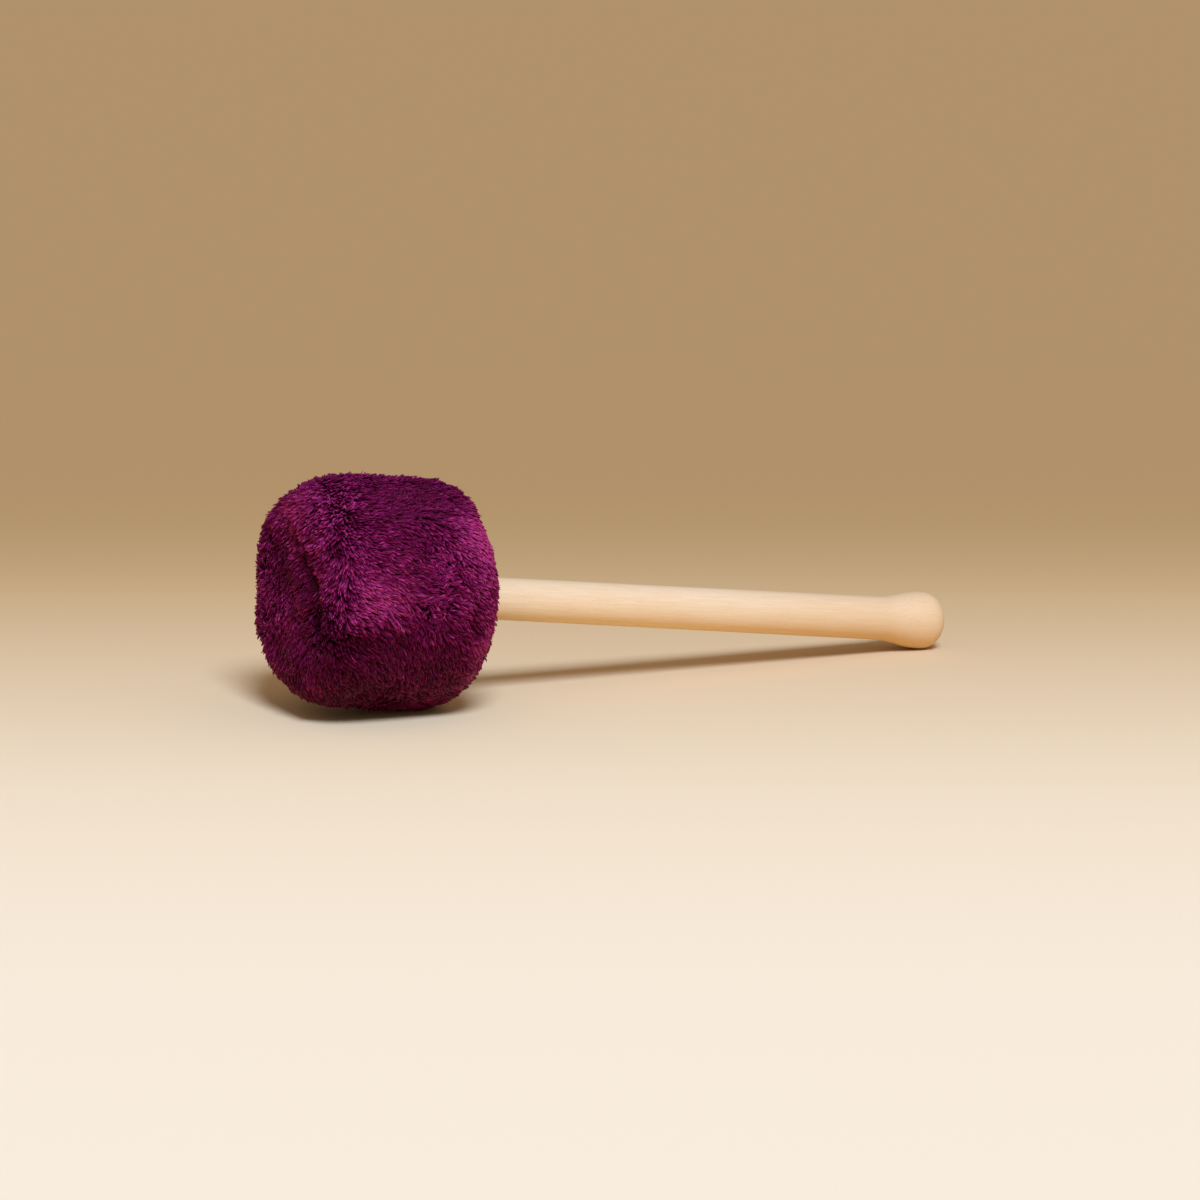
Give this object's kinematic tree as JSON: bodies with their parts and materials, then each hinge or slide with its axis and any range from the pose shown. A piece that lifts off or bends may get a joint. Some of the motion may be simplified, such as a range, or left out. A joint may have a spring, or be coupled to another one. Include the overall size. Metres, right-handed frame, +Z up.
{
  "type": "gong mallet",
  "caption": "Gong mallet: a soft drum-shaped plush head on a turned wooden handle with a flared, rounded knob.",
  "frame": {"origin": "on the surface that the mallet lies on, below the middle of its bounding box", "axes": "+X along the mallet towards the knob, +Z up, +Y to the side; the mallet's own axis lies in the XZ plane and dips 7.8 degrees towards the knob"},
  "size_m": [0.4626, 0.1372, 0.1425],
  "materials": {
    "beech": "turned and sanded, clear satin lacquer",
    "steel": "zinc plated",
    "rubber": "moulded, matt",
    "felt": "pressed wool felt",
    "plush": "soft plush with a short pile",
    "thread": "twisted cotton"
  },
  "bodies": {
    "root": {"core_hub": "beech", "handle": "beech", "hub_screw": "steel", "hub_washer": "steel", "lock_pin": "steel", "rubber_sleeve": "rubber", "felt_winding": "felt", "front_felt_disc_1": "felt", "front_felt_disc_2": "felt", "front_felt_disc_3": "felt", "rear_felt_ring_1": "felt", "rear_felt_ring_2": "felt", "rear_felt_ring_3": "felt", "cover_front_panel": "plush", "cover_side_panel": "plush", "cover_rear_panel": "plush", "front_seam_thread": "thread", "rear_seam_thread": "thread", "side_seam_thread": "thread", "neck_drawcord": "thread"}
  },
  "joints": []
}
